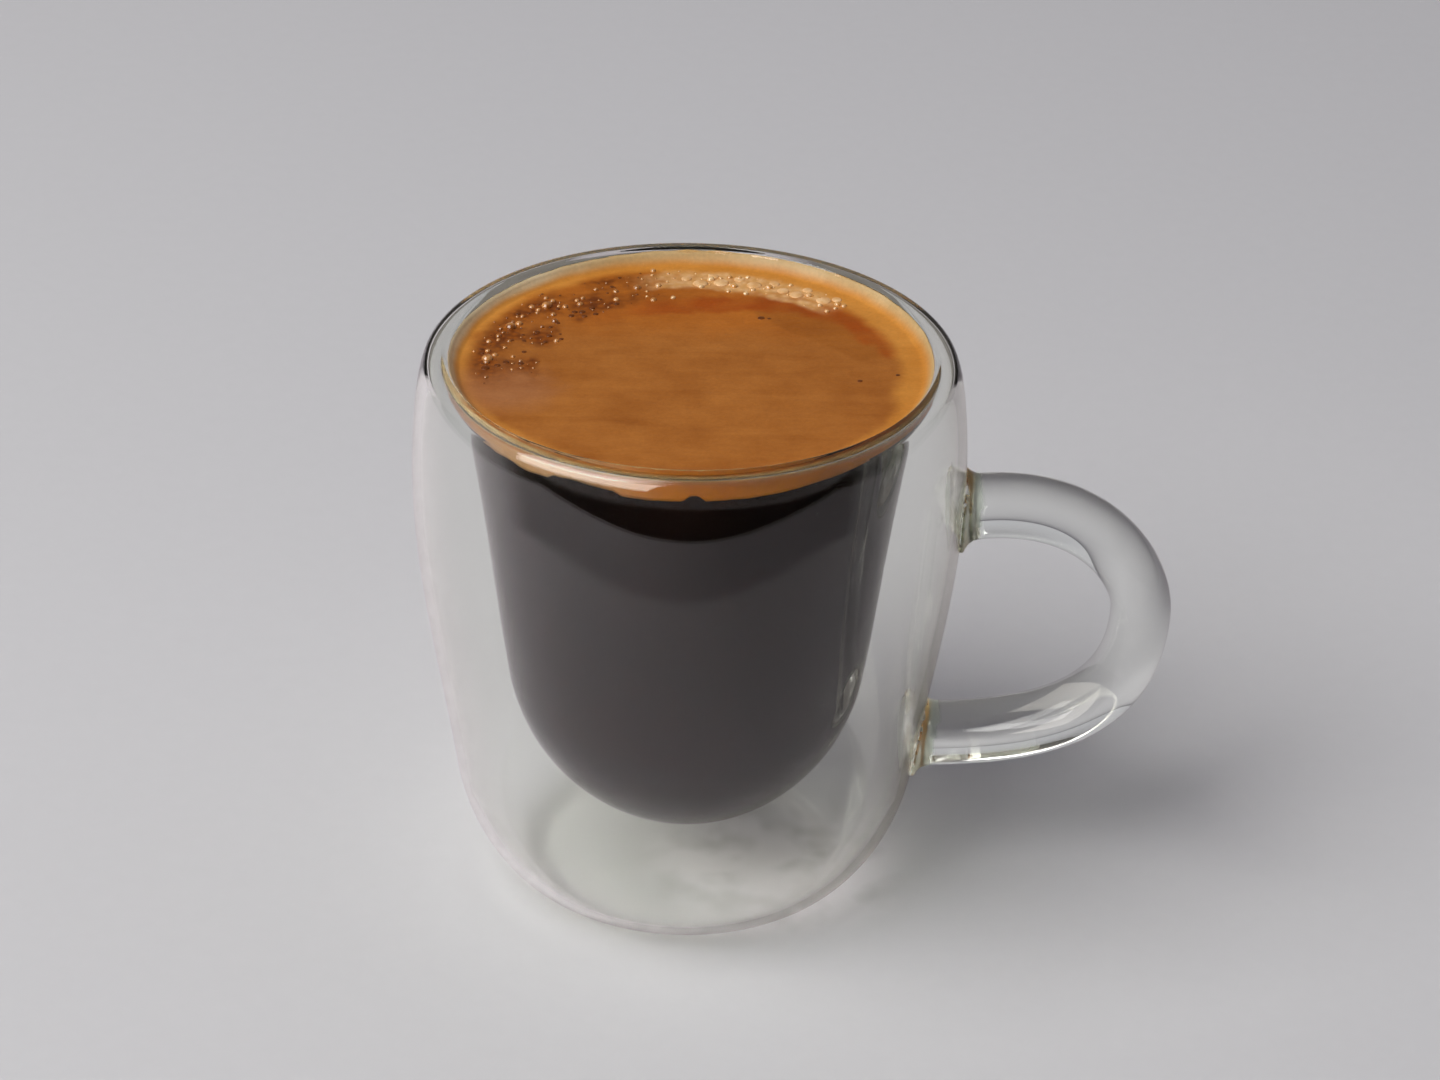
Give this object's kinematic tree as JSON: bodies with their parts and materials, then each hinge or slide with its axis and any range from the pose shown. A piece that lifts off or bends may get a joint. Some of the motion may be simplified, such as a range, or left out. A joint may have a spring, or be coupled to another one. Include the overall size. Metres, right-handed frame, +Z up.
{
  "type": "double espresso in a glass mug",
  "caption": "Espresso under a layer of crema in a small clear mug with a double wall, a rounded lip and a bent glass handle.",
  "frame": {"origin": "centre of the flat foot, on the mug's own axis, at the surface that the mug stands on", "axes": "+Z up along the mug's axis, +X towards the handle, which lies in the plane Y = 0"},
  "size_m": [0.086, 0.062, 0.0652],
  "materials": {
    "clear_glass": "clear, fire-polished borosilicate glass",
    "espresso": "very dark brown liquid, glossy",
    "crema": "fine tan-brown foam, satin"
  },
  "bodies": {
    "root": {"glass_mug": "clear_glass", "coffee": "espresso", "crema": "crema"}
  },
  "joints": []
}
